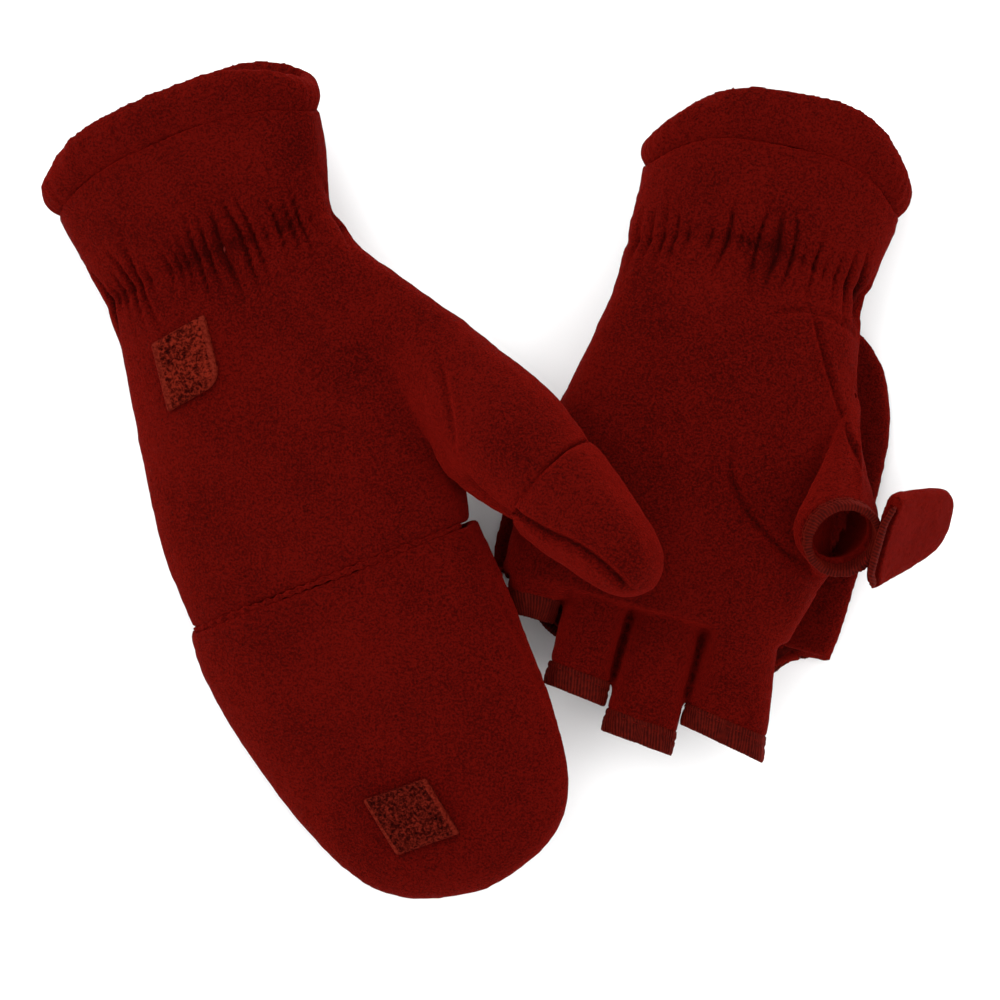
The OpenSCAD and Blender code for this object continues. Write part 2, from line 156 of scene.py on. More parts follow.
def curve_through(points, count):
    """Catmull-Rom points along a given path."""
    p = np.array(points, float)
    p = np.vstack([2 * p[0] - p[1], p, 2 * p[-1] - p[-2]])
    out = []
    for s in np.linspace(0, len(points) - 1, count):
        i = min(int(s), len(points) - 2)
        t = s - i
        a, b, c, d = p[i], p[i + 1], p[i + 2], p[i + 3]
        out.append(0.5 * (2 * b + (c - a) * t + (2 * a - 5 * b + 4 * c - d) * t ** 2
                          + (3 * b - a - 3 * c + d) * t ** 3))
    return np.array(out)


# ---------------------------------------------------------------- meshes

def points_of(mesh):
    co = np.empty(len(mesh.vertices) * 3)
    mesh.vertices.foreach_get("co", co)
    return co.reshape(-1, 3)


def set_points(mesh, co):
    mesh.vertices.foreach_set("co", np.asarray(co, float).ravel())
    mesh.update()


def normals_of(mesh):
    n = np.empty(len(mesh.vertices) * 3)
    mesh.vertices.foreach_get("normal", n)
    return n.reshape(-1, 3)


def edges_of(mesh):
    e = np.empty(len(mesh.edges) * 2, dtype=np.int64)
    mesh.edges.foreach_get("vertices", e)
    return e.reshape(-1, 2)


def smoothed(co, edges, rounds, share=0.5, back=0.53):
    """Smooths the points without shrinking the shape: each round moves them in, then back out."""
    a, b = edges[:, 0], edges[:, 1]
    n = len(co)
    degree = np.maximum(np.bincount(a, minlength=n) + np.bincount(b, minlength=n), 1)
    for turn in range(2 * rounds):
        mean = np.stack([np.bincount(a, weights=co[b, k], minlength=n)
                         + np.bincount(b, weights=co[a, k], minlength=n) for k in range(3)], axis=1)
        co = co + (share if turn % 2 == 0 else -back) * (mean / degree[:, None] - co)
    return co


def new_object(name, vertices, faces):
    mesh = bpy.data.meshes.new(name)
    mesh.from_pydata([tuple(v) for v in vertices], [], faces)
    mesh.update()
    obj = bpy.data.objects.new(name, mesh)
    bpy.context.scene.collection.objects.link(obj)
    return obj


def joined(name, nodes, grow=0.0, soft=False):
    """One object with copies of the CAD nodes' meshes, each grown a little so that neighbours overlap."""
    vertices, faces = [], []
    for node in nodes:
        copy = bmesh.new()
        copy.from_mesh(frame["nodes"][node].data)
        bmesh.ops.remove_doubles(copy, verts=copy.verts, dist=1e-5)
        bmesh.ops.recalc_face_normals(copy, faces=copy.faces)
        copy.normal_update()
        ways = [v.normal * v.calc_shell_factor() * grow * MM for v in copy.verts]
        for v, way in zip(copy.verts, ways):
            v.co += way
        if soft:
            soften(copy)
        base = len(vertices)
        vertices += [tuple(v.co) for v in copy.verts]
        faces += [[base + v.index for v in f.verts] for f in copy.faces]
        copy.free()
    return new_object(name, vertices, faces)


# Folds sharper than this angle, in radians, are edges of the fleece, and keep this much of a crease.
EDGE_ANGLE, EDGE_CREASE = 0.9, 0.6


def soften(b):
    """Rounds the CAD's facets into a smooth surface, and keeps the edges that really are edges."""
    bmesh.ops.join_triangles(b, faces=b.faces[:], angle_face_threshold=0.5, angle_shape_threshold=1.4)
    creases = b.edges.layers.float.new("crease_edge")
    for e in b.edges:
        e[creases] = EDGE_CREASE if e.calc_face_angle(0) > EDGE_ANGLE else 0.0
    mesh = bpy.data.meshes.new("soft")
    b.to_mesh(mesh)
    obj = bpy.data.objects.new("soft", mesh)
    bpy.context.scene.collection.objects.link(obj)
    m = obj.modifiers.new("subdivide", "SUBSURF")
    m.levels = m.render_levels = 2
    apply_modifiers(obj)
    b.clear()
    b.from_mesh(obj.data)
    bpy.data.objects.remove(obj)
    b.verts.index_update()


def apply_modifiers(obj):
    graph = bpy.context.evaluated_depsgraph_get()
    mesh = bpy.data.meshes.new_from_object(obj.evaluated_get(graph))
    obj.modifiers.clear()
    obj.data = mesh
    mesh.name = obj.name


def remesh(obj, voxel):
    m = obj.modifiers.new("remesh", "REMESH")
    m.mode = "VOXEL"
    m.voxel_size = voxel * MM
    apply_modifiers(obj)


def shade_smooth(obj):
    obj.data.polygons.foreach_set("use_smooth", [True] * len(obj.data.polygons))


def finished(obj, material, body, nodes=()):
    obj.data.materials.clear()
    obj.data.materials.append(material)
    shade_smooth(obj)
    if nodes:
        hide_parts(*nodes)
    if body:
        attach(obj, body)
    return obj


def corners_of(mesh):
    """The vertex at each corner of each face."""
    loops = np.empty(len(mesh.loops), dtype=np.int64)
    mesh.loops.foreach_get("vertex_index", loops)
    return loops


def write_weave(mesh, u, v):
    mesh.uv_layers.new(name="weave").data.foreach_set("uv", np.stack([u, v], axis=1).ravel())


def weave_map(mesh, turns, along, round_length):
    """A UV map named weave, in millimetres: around the ring, and across it."""
    loops = corners_of(mesh)
    starts = np.array([p.loop_start for p in mesh.polygons])
    counts = np.array([p.loop_total for p in mesh.polygons])
    u = turns[loops]
    face = np.repeat(np.arange(len(starts)), counts)
    top = np.full(len(starts), -1e9)
    np.maximum.at(top, face, u)
    u = np.where(top[face] - u > 0.5, u + 1, u)
    write_weave(mesh, u * round_length, along[loops])


# ---------------------------------------------------------------- materials

def material(name):
    m = bpy.data.materials.new(name)
    m.use_nodes = True
    tree = m.node_tree
    for n in list(tree.nodes):
        tree.nodes.remove(n)
    return m, tree.nodes, tree.links


def ramp(nodes, stops):
    r = nodes.new("ShaderNodeValToRGB")
    e = r.color_ramp.elements
    while len(e) < len(stops):
        e.new(0.5)
    for item, (place, colour) in zip(e, stops):
        item.position = place
        item.color = (*colour, 1)
    return r


def noise_node(nodes, links, coords, scale, detail, rough=0.6, distortion=0.0):
    n = nodes.new("ShaderNodeTexNoise")
    n.inputs["Scale"].default_value = scale
    n.inputs["Detail"].default_value = detail
    n.inputs["Roughness"].default_value = rough
    n.inputs["Distortion"].default_value = distortion
    links.new(coords, n.inputs["Vector"])
    return n


def sum_node(nodes, links, operation, *inputs):
    """A math node fed with sockets and plain numbers."""
    n = nodes.new("ShaderNodeMath")
    n.operation = operation
    for socket, value in zip(n.inputs, inputs):
        if isinstance(value, (int, float)):
            socket.default_value = value
        else:
            links.new(value, socket)
    return n.outputs[0]


def cloth(name, dark, mid, light, pile=1650, sheen=0.5, bump=1.0, depth=0.55):
    """Brushed fleece: short curly pile in clumps of 1 to 2 mm, paler at the tips, darker between them, with
    painted shade darkening its folds and creases.
    """
    m, nodes, links = material(name)
    out = nodes.new("ShaderNodeOutputMaterial")
    shader = nodes.new("ShaderNodeBsdfPrincipled")
    coords = nodes.new("ShaderNodeTexCoord").outputs["Object"]
    clumps = noise_node(nodes, links, coords, pile, 4, 0.62, 0.4)
    fibres = noise_node(nodes, links, coords, pile * 3.1, 3, 0.7, 0.8)
    shade = noise_node(nodes, links, coords, 38, 2)
    mix = sum_node(nodes, links, "MULTIPLY_ADD", fibres.outputs["Fac"], 0.45, clumps.outputs["Fac"])
    wide = sum_node(nodes, links, "MULTIPLY_ADD", shade.outputs["Fac"], 0.22, mix)
    # Painted shade: the fleece's colour goes darker where the fold attribute says a point lies deep in a
    # crease or fold.
    painted_fold_shade = nodes.new("ShaderNodeAttribute")
    painted_fold_shade.attribute_name = "painted_fold_shade"
    shaded = sum_node(nodes, links, "MULTIPLY_ADD", painted_fold_shade.outputs["Fac"], -0.3, wide)
    colour = ramp(nodes, [(0.6, dark), (0.77, mid), (0.93, light)])
    links.new(shaded, colour.inputs["Fac"])
    links.new(colour.outputs["Color"], shader.inputs["Base Color"])
    lumps = nodes.new("ShaderNodeBump")
    lumps.inputs["Strength"].default_value = bump
    lumps.inputs["Distance"].default_value = depth * MM
    links.new(mix, lumps.inputs["Height"])
    links.new(lumps.outputs["Normal"], shader.inputs["Normal"])
    shader.inputs["Roughness"].default_value = 0.93
    shader.inputs["Specular IOR Level"].default_value = 0.015
    shader.inputs["Sheen Weight"].default_value = sheen
    shader.inputs["Sheen Roughness"].default_value = 0.42
    shader.inputs["Sheen Tint"].default_value = (0.4, 0.009, 0.004, 1)
    links.new(shader.outputs["BSDF"], out.inputs["Surface"])
    return m


def ribbed(name, dark, light, pitch=1.0, slope=0.35):
    """A narrow knitted binding: fine slanting ribs across its width, from the weave map."""
    m, nodes, links = material(name)
    out = nodes.new("ShaderNodeOutputMaterial")
    shader = nodes.new("ShaderNodeBsdfPrincipled")
    uv = nodes.new("ShaderNodeUVMap")
    uv.uv_map = "weave"
    parts = nodes.new("ShaderNodeSeparateXYZ")
    links.new(uv.outputs["UV"], parts.inputs[0])
    lean = sum_node(nodes, links, "MULTIPLY_ADD", parts.outputs["Y"], slope, parts.outputs["X"])
    coords = nodes.new("ShaderNodeTexCoord").outputs["Object"]
    wobble = noise_node(nodes, links, coords, 700, 3)
    shift = sum_node(nodes, links, "MULTIPLY_ADD", wobble.outputs["Fac"], 0.5, lean)
    phase = sum_node(nodes, links, "MULTIPLY", shift, TAU / pitch)
    wave = sum_node(nodes, links, "SINE", phase)
    fuzz = sum_node(nodes, links, "MULTIPLY_ADD", wave, 0.22, wobble.outputs["Fac"])
    colour = ramp(nodes, [(0.25, dark), (0.8, light)])
    links.new(fuzz, colour.inputs["Fac"])
    links.new(colour.outputs["Color"], shader.inputs["Base Color"])
    ribs = nodes.new("ShaderNodeBump")
    ribs.inputs["Strength"].default_value = 0.6
    ribs.inputs["Distance"].default_value = 0.35 * MM
    links.new(fuzz, ribs.inputs["Height"])
    links.new(ribs.outputs["Normal"], shader.inputs["Normal"])
    shader.inputs["Roughness"].default_value = 0.8
    shader.inputs["Specular IOR Level"].default_value = 0.03
    shader.inputs["Sheen Weight"].default_value = 0.35
    shader.inputs["Sheen Roughness"].default_value = 0.5
    shader.inputs["Sheen Tint"].default_value = (0.3, 0.014, 0.005, 1)
    links.new(shader.outputs["BSDF"], out.inputs["Surface"])
    return m


# Each cloth's three colours: between the fibres, on them, and at their tips.
DARK = (0.009, 0.0003, 0.0001)
MID = (0.0355, 0.00065, 0.00025)
LIGHT = (0.072, 0.0019, 0.0009)

FLEECE = cloth("fleece", DARK, MID, LIGHT)
LINING = cloth("fleece_lining", (0.01, 0.0005, 0.0004), (0.026, 0.001, 0.0007), (0.05, 0.0025, 0.0015),
               pile=480, sheen=0.15)
BINDING = ribbed("knit_binding", (0.016, 0.0004, 0.0001), (0.056, 0.0024, 0.0009))
ELASTIC = ribbed("elastic", (0.03, 0.0015, 0.001), (0.09, 0.008, 0.006), pitch=1.6, slope=0.0)
THREAD = cloth("thread", (0.012, 0.0004, 0.0002), (0.04, 0.0012, 0.0007), (0.08, 0.004, 0.0025),
               pile=1800, sheen=0.15, bump=0.4, depth=0.15)
HOOKS = cloth("hook_tape", (0.003, 0.0002, 0.0001), (0.026, 0.0011, 0.0005), (0.12, 0.009, 0.004),
              pile=900, sheen=0.12, bump=1.0, depth=0.5)
LOOPS = cloth("loop_tape", (0.002, 0.0002, 0.0001), (0.022, 0.001, 0.0005), (0.095, 0.007, 0.0035),
              pile=1050, sheen=0.12, bump=1.0, depth=0.5)
SELVEDGE = cloth("selvedge", (0.03, 0.0011, 0.0005), (0.062, 0.004, 0.0018), (0.1, 0.009, 0.0045),
                 pile=1300, sheen=0.2, bump=0.5, depth=0.25)


# ---------------------------------------------------------------- fleece surfaces

def elastic_line(glove, x):
    """Height of the elastic at x, bowed towards the cuff in the middle."""
    u = np.clip(x / WRIST_HALF_W, -1.2, 1.2)
    return ELASTIC_Y[glove.side] - ELASTIC_BOW[glove.side] * (1 - u * u)


# The puckers at the elastic: how far apart and how deep they are, and how far they run to the cuff and
# to the hand, all in millimetres.
PUCKER_PITCH, PUCKER_DEPTH = 3.7, 2.3
PUCKER_TO_CUFF, PUCKER_TO_HAND = 8, 7


def gathers(glove, p, n):
    """Puckers that fan out from the elastic, deep at its line and dying out on both sides."""
    side = np.where(n[:, 2] > 0, 1.0, -1.0)
    y = p[:, 1] - elastic_line(glove, p[:, 0])
    place = p[:, 0] * (1 - 0.004 * np.abs(y)) + side * 7.3
    bend = noise(np.stack([place, y * 0.35, side * 5], axis=1), 7, 11)
    index = place / PUCKER_PITCH + 0.85 * bend
    wave = np.abs(np.sin(math.pi * index))
    number = np.floor(index + 0.5)
    own = noise(np.stack([number * 5.1, side * 3, number * 2.7], axis=1), 3.3, 13)
    reach = np.where(y < 0, PUCKER_TO_CUFF, PUCKER_TO_HAND) * (1 + 0.6 * own)
    fade = hill(y, np.maximum(reach, 3))
    groove = -(1 - wave) ** 1.9
    broad = noise(np.stack([place * 0.8, y * 0.2, side * 7], axis=1), 6, 14)
    depth = PUCKER_DEPTH * np.clip(0.9 + 0.5 * own, 0.55, 1.3)
    return depth * fade * groove + 1.0 * hill(y, 13) * broad - 0.5 * hill(y, 1.8)


def crease(p, facing, path, depth, width, lip=0.0, ends=0.12):
    """A groove along a path in the XY plane, fading out at its ends, with raised lips if lip is over 0."""
    gap, along = distance_to_path(p[:, 0], p[:, 1], path)
    fade = step(0, ends, along) * step(0, ends, 1 - along)
    return facing * fade * (lip * hill(gap - width * 1.6, width) - depth * hill(gap, width))


def lumps(p, amount=0.16):
    """The fleece's own unevenness, large and small."""
    return amount * (noise(p, 2.3, 1) + 0.7 * noise(p, 4.5, 2)) + 0.35 * noise(p, 17, 3)


# Folds deeper than the first number, in millimetres, get painted shade in the fleece's colour, darkest this
# much deeper.
SHADE_FROM, SHADE_OVER = 0.35, 1.8


def fleece(glove, name, parts, body, voxel=0.95, rounds=14, shape=None, amount=0.16, grow=0.4, extra=()):
    """A fleece piece from CAD nodes: one skin, faceting smoothed away, then its own folds and lumps."""
    nodes = glove.nodes(*parts)
    obj = joined(name, nodes, grow, soft=True)
    if extra:
        add_hulls(obj.data, extra)
    remesh(obj, voxel)
    mesh = obj.data
    co = smoothed(points_of(mesh), edges_of(mesh), rounds)
    set_points(mesh, co)
    p = glove.local(co)
    n = normals_of(mesh) @ glove.axes.T
    push = lumps(p, amount)
    if shape:
        folds = shape(glove, p, n)
        push = push + folds
        # Painted shade: how deep each point lies in a fold, which the fleece's material paints darker.
        painted_fold_shade = mesh.attributes.new("painted_fold_shade", "FLOAT", "POINT")
        painted_fold_shade.data.foreach_set("value", np.clip(-(folds + SHADE_FROM) / SHADE_OVER, 0, 1))
    set_points(mesh, glove.world(p + n * push[:, None]))
    return finished(obj, FLEECE, body, nodes)


def add_hulls(mesh, groups):
    """Adds the convex hull of each group of points to a mesh."""
    b = bmesh.new()
    b.from_mesh(mesh)
    for group in groups:
        hull = bmesh.new()
        for q in group:
            hull.verts.new(q)
        bmesh.ops.convex_hull(hull, input=hull.verts[:])
        bmesh.ops.delete(hull, geom=[v for v in hull.verts if not v.link_faces], context="VERTS")
        scratch = bpy.data.meshes.new("hull")
        hull.to_mesh(scratch)
        hull.free()
        b.from_mesh(scratch)
        bpy.data.meshes.remove(scratch)
    b.to_mesh(mesh)
    b.free()


def wall(glove, node, facing):
    """Points on the side of a node that faces up (1) or down (-1), in the glove's frame."""
    b = bmesh.new()
    b.from_mesh(frame["nodes"][node].data)
    bmesh.ops.remove_doubles(b, verts=b.verts, dist=1e-5)
    bmesh.ops.recalc_face_normals(b, faces=b.faces)
    b.normal_update()
    p = glove.local(np.array([v.co for v in b.verts]))
    n = np.array([v.normal for v in b.verts]) @ glove.axes.T
    b.free()
    return p[facing * n[:, 2] > 0.35]


# The wedges at the roots of the fingers, measured from the palm's edge in millimetres: where a wedge starts
# on the palm, and on the finger; how far it stops short of the finger's hem; how narrow it keeps within the
# finger; and the same for the webs between two fingers.
WEDGE_PALM, WEDGE_FINGER, WEDGE_HEM, WEDGE_IN = 16, 4, 9, 1.5
WEB_PALM, WEB_START, WEB_END = 12, 6, 9
ROOT_END = 6


def finger_roots(glove):
    """Wedges of fleece from the palm onto each finger, so that a finger grows out of the palm."""
    palm = wall(glove, glove.node("palm_panel"), -1)
    edge = palm[:, 1].max()
    out, roots = [], []
    for part in ("index_stall", "middle_stall", "ring_stall", "little_stall"):
        stall = wall(glove, glove.node(part), -1)
        hem = stall[:, 1].max()
        finger = stall[(stall[:, 1] > edge - WEDGE_FINGER) & (stall[:, 1] < hem - WEDGE_HEM)]
        root = stall[stall[:, 1] < edge + ROOT_END]
        low, high = root[:, 0].min() + WEDGE_IN, root[:, 0].max() - WEDGE_IN
        base = palm[(palm[:, 1] > edge - WEDGE_PALM) & (palm[:, 0] > low) & (palm[:, 0] < high)]
        if len(finger) > 2 and len(base) > 2:
            out.append(glove.world(np.vstack([finger, base])))
        roots.append(stall[(stall[:, 1] > edge - WEB_START) & (stall[:, 1] < edge + WEB_END)])
    for a, b in zip(roots, roots[1:]):
        low, high = sorted((a[:, 0].mean(), b[:, 0].mean()))
        web = np.vstack([a, b, palm[palm[:, 1] > edge - WEB_PALM]])
        web = web[(web[:, 0] > low) & (web[:, 0] < high)]
        if len(web) > 4:
            out.append(glove.world(web))
    return out


def outer(p, n, cx, half_w, half_h):
    """1 on a hand's outer wall and 0 on its inner one, from the way the surface faces."""
    away = np.stack([(p[:, 0] - cx) / half_w, np.zeros(len(p)), p[:, 2] / half_h], axis=1)
    away /= np.maximum(np.linalg.norm(away, axis=1), 1e-6)[:, None]
    return step(0.0, 0.35, (away * n).sum(1))


HAND_CENTRE_X, HAND_HALF_W, HAND_HALF_H = 2.0, 40.0, 15.0

# Creases and seams on the left glove's palm, in its own frame.
THUMB_SEAM = curve_through([(-18, 38), (-25, 51), (-36, 68), (-48, 83)], 16)
THUMB_FOLD = curve_through([(-5, 78), (-8, 88), (-14, 96), (-22, 102), (-32, 107), (-42, 108)], 20)
HEEL_ARC = curve_through([(-3, 46), (-12, 40), (-21, 39), (-31, 41), (-39, 46)], 16)
FINGER_SLITS = [
    curve_through([(26, 129), (28, 138), (29.5, 147)], 8),
    curve_through([(8.5, 131), (9, 141), (8.8, 155)], 8),
    curve_through([(-11.5, 131), (-11.8, 141), (-11.6, 155)], 8),
]
THUMB_CREASE = curve_through([(-50, 80), (-51, 94), (-50, 107), (-46, 117)], 14)


def palm_up(glove, p, n):
    """The left glove: gathers, the thumb's seams on the palm, and the slits between the fingers."""
    skin = outer(p, n, HAND_CENTRE_X, HAND_HALF_W, HAND_HALF_H)
    palm = step(0.15, 0.6, -n[:, 2]) * skin
    push = gathers(glove, p, n) * skin * step(70, 55, p[:, 1])
    push += crease(p, palm, THUMB_SEAM, depth=1.3, width=0.8, lip=0.3)
    push += crease(p, palm, THUMB_FOLD, depth=1.3, width=1.8, lip=0.5, ends=0.25)
    push += crease(p, palm, HEEL_ARC, depth=0.8, width=1.1, lip=0.2, ends=0.3)
    for slit in FINGER_SLITS:
        push += crease(p, np.abs(n[:, 2]) * step(122, 132, p[:, 1]), slit, depth=1.6, width=1.5, ends=0.2)
    push += 0.5 * palm * noise(p * np.array([1, 0.6, 0.2]), 22, 21)
    return push


THUMB_SLIT = curve_through([(-49, 115), (-52, 121), (-57, 129), (-66, 139), (-74.5, 147), (-80, 156),
                            (-83, 164)], 24)
# How much the right thumb widens towards its cap, how far its pad stands out, and how far the whole thumb
# lies nearer the fingers than its joint's straight line, in millimetres.
THUMB_WIDER, PAD_OUT, THUMB_SWING = 2.5, 3.2, 3.3


def thumb_slit(p, n, skin=1.0):
    """The slit beside the right thumb's pad, on the surfaces that face up."""
    return crease(p, skin * step(0.1, 0.5, n[:, 2]), THUMB_SLIT, depth=1.7, width=1.3, lip=0.5, ends=0.1)


def thumb_cap_points(glove):
    return np.concatenate([glove.local(points_of(frame["nodes"][k].data))
                           for k in glove.nodes("thumb_cap_back", "thumb_cap_pad")])


# The thumb's own fleece ends between these two distances from its axis, in millimetres.
THUMB_INSIDE, THUMB_OUTSIDE = 20, 27


def along_thumb(glove, p):
    """Distance past the thumb cap's rim, how far the point belongs to the thumb at all, its way out from
    the thumb's axis, and the way towards the fingers."""
    cap = thumb_cap_points(glove)
    stall = glove.local(points_of(frame["nodes"][glove.node("thumb_stall")].data))
    axis = cap.mean(0) - stall.mean(0)
    axis /= np.linalg.norm(axis)
    q = p - cap.mean(0)
    s = q @ axis
    aside = np.linalg.norm(q - np.outer(s, axis), axis=1)
    rim = np.percentile((cap - cap.mean(0)) @ axis, 2)
    mine = step(THUMB_OUTSIDE, THUMB_INSIDE, aside)
    return s - rim, mine, q - np.outer(s, axis), np.array([axis[1], -axis[0], 0.0])


def thumb_faces(away, inward, n):
    """1 on the thumb's outer skin, and 1 on the side of the thumb that has its pad."""
    away = away / np.maximum(np.linalg.norm(away, axis=1), 1e-6)[:, None]
    return step(0.1, 0.5, (away * n).sum(1)), step(0.25, 0.85, away @ inward) * step(0.5, 0.0, away[:, 2])


def thumb_flush(glove, p, n):
    """The thumb widens to the size of its cap, so the cap's rim hides in it."""
    past, mine, away, inward = along_thumb(glove, p)
    skin, pad = thumb_faces(away, inward, n)
    swell = THUMB_WIDER * step(-42, -2, past) + PAD_OUT * pad * hill(past + 17, 15)
    return mine * skin * step(3.5, 2.2, past) * swell


def swing_thumb(glove, obj):
    """The closed mitten's thumb lies a little closer to the fingers than its joint's straight line."""
    if glove.side == "right":
        p = glove.local(points_of(obj.data))
        past, mine, _, inward = along_thumb(glove, p)
        p = p + np.outer(THUMB_SWING * mine * step(-52, -12, past), inward)
        set_points(obj.data, glove.world(p))


def thumb_cap_shape(glove, p, n):
    """The thumb cap: crumpled on the left glove, and on the right one thinner at its rim, with its slit."""
    if glove.side == "left":
        return 0.3 * noise(p, 9, 42)
    past, _, away, inward = along_thumb(glove, p)
    skin, pad = thumb_faces(away, inward, n)
    push = -1.5 * skin * step(7, 0, past) + 1.6 * pad * skin * step(30, 5, past)
    return push + thumb_slit(p, n, skin)


def back_up(glove, p, n):
    """The right mitten's hand: gathers, and the crease where the thumb joins the back."""
    skin = outer(p, n, HAND_CENTRE_X, HAND_HALF_W, HAND_HALF_H)
    back = step(0.1, 0.5, n[:, 2]) * skin
    push = gathers(glove, p, n) * skin * step(72, 55, p[:, 1])
    push += crease(p, back, THUMB_CREASE, depth=1.0, width=1.2, lip=0.2, ends=0.3)
    push += thumb_flush(glove, p, n)
    push += thumb_slit(p, n)
    push += 0.6 * back * noise(p * np.array([1, 0.6, 0.2]), 24, 22)
    return push


def hem_folds(glove, p, n):
    """The cuff's hem is a soft roll, pulled in a little at each stitch of its seam."""
    around = np.arctan2(p[:, 2] / 15, (p[:, 0] - 1) / 39)
    pull = np.sin(around * 46 + 3 * noise(p, 9, 31))
    return 0.14 * pull * step(0, 8, p[:, 1] + 12) + 0.3 * noise(p, 7, 32)


def build_glove(glove):
    side = glove.side
    hand = BODY_OF[glove.node("back_panel")]
    stalls = ("index_stall", "middle_stall", "ring_stall", "little_stall", "thumb_stall")
    skin = fleece(glove, side + "_hand_fleece", ("back_panel", "palm_panel", "cuff") + stalls, hand,
           shape=back_up if side == "right" else palm_up,
           extra=finger_roots(glove) if side == "left" else ())
    swing_thumb(glove, skin)
    fleece(glove, side + "_cuff_roll", ("cuff_hem",), hand, voxel=0.8, rounds=8, shape=hem_folds)
    build_cap(glove)
    build_thumb_cap(glove)


CAP_SEAM = curve_through([(-39, 143), (-41, 162), (-41.5, 183), (-41.6, 198), (-40, 212)], 20)

CAP_SEAM_GAP = 2.6


def cap_shape(glove, p, n):
    """The finger cap: soft swells, and on its thumb side the two lines of its turned seam."""
    push = 0.5 * noise(p * np.array([1, 1, 0.3]), 26, 41)
    if glove.side == "right":
        up = step(0.0, 0.4, n[:, 2])
        push += crease(p, up, CAP_SEAM, depth=1.0, width=0.8, lip=0.3, ends=0.1)
        push += crease(p, up, CAP_SEAM + np.array([CAP_SEAM_GAP, 0]), depth=0.6, width=0.6, lip=0.2, ends=0.2)
    return push


def mean_of(nodes):
    return np.concatenate([points_of(frame["nodes"][n].data) for n in nodes]).mean(0)


def blended(obj, nodes_a, nodes_b):
    """Bakes the piece's transform into its mesh."""
    a, b = mean_of(nodes_a), mean_of(nodes_b)
    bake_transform(obj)


def build_cap(glove):
    obj = fleece(glove, glove.side + "_cap_fleece", ("cap_back", "cap_palm"), None, shape=cap_shape)
    blended(obj, glove.nodes("cap_back"), glove.nodes("cap_palm"))


# How far the turned-back thumb cap is moved towards the thumb, in millimetres, and the share of its length
# that it keeps.
FLAP_SHIFT, FLAP_SHARE = 4.0, 0.76


def tuck(glove, obj):
    """The turned-back thumb cap lies crumpled against the thumb's ring: shorter, and close to it."""
    if glove.side == "left":
        p = glove.local(points_of(obj.data))
        mouth = thumb_cap_points(glove)[:, 0].max()
        p[:, 0] = mouth + FLAP_SHIFT + (p[:, 0] - mouth) * FLAP_SHARE
        set_points(obj.data, glove.world(p))


def build_thumb_cap(glove):
    obj = fleece(glove, glove.side + "_thumb_cap_fleece", ("thumb_cap_back", "thumb_cap_pad"), None,
                 voxel=0.7, rounds=10, shape=thumb_cap_shape)
    tuck(glove, obj)
    swing_thumb(glove, obj)
    blended(obj, glove.nodes("thumb_cap_back"), glove.nodes("thumb_cap_pad"))


# ---------------------------------------------------------------- bindings, elastic and stitches

def islands(node):
    """The separate closed pieces of a CAD node, each as its points and faces."""
    b = bmesh.new()
    b.from_mesh(frame["nodes"][node].data)
    bmesh.ops.remove_doubles(b, verts=b.verts, dist=1e-5)
    bmesh.ops.recalc_face_normals(b, faces=b.faces)
    b.verts.index_update()
    seen, out = set(), []
    for first in b.verts:
        if first.index in seen:
            continue
        seen.add(first.index)
        group = [first]
        for v in group:
            for e in v.link_edges:
                other = e.other_vert(v)
                if other.index not in seen:
                    seen.add(other.index)
                    group.append(other)
        number = {v.index: i for i, v in enumerate(group)}
        faces = dict.fromkeys(f for v in group for f in v.link_faces)
        out.append((np.array([v.co + v.normal * 0.2 * MM for v in group]),
                    [[number[v.index] for v in f.verts] for f in faces]))
    b.free()
    return out


RING_ANGLES = 48


class Ring:
    """The frame of a band: its middle, its axis, and the length around it at each angle."""

    def __init__(self, points, toward, up):
        self.centre = points.mean(0)
        spread = points - self.centre
        self.axis = np.linalg.eigh(spread.T @ spread)[1][:, 0]
        if self.axis.dot(toward) < 0:
            self.axis = -self.axis
        self.u = up - up.dot(self.axis) * self.axis
        self.u /= np.linalg.norm(self.u)
        self.v = np.cross(self.axis, self.u)
        turn, along, radius = self.place(points)
        self.half = np.abs(along).max()
        angles = np.arange(RING_ANGLES) / RING_ANGLES
        near = np.abs((turn[None, :] - angles[:, None] + 0.5) % 1 - 0.5) < 0.04
        wide = np.array([radius[k].max() if k.any() else radius.max() for k in near])
        rim = np.stack([wide * np.cos(TAU * angles), wide * np.sin(TAU * angles)], axis=1)
        steps = np.linalg.norm(np.roll(rim, -1, axis=0) - rim, axis=1)
        self.length = steps.sum()
        self.table = np.concatenate([[0], np.cumsum(steps)]) / self.length

    def place(self, points):
        q = (points - self.centre) / MM
        x, y = q @ self.u, q @ self.v
        return (np.arctan2(y, x) / TAU) % 1, q @ self.axis, np.hypot(x, y)

    def share(self, turn):
        """How far around the ring's length each angle lies, from 0 to 1."""
        return np.interp(turn, np.arange(RING_ANGLES + 1) / RING_ANGLES, self.table)

    def outward(self, points):
        q = points - self.centre
        q = q - np.outer(q @ self.axis, self.axis)
        return q / np.maximum(np.linalg.norm(q, axis=1), 1e-9)[:, None]


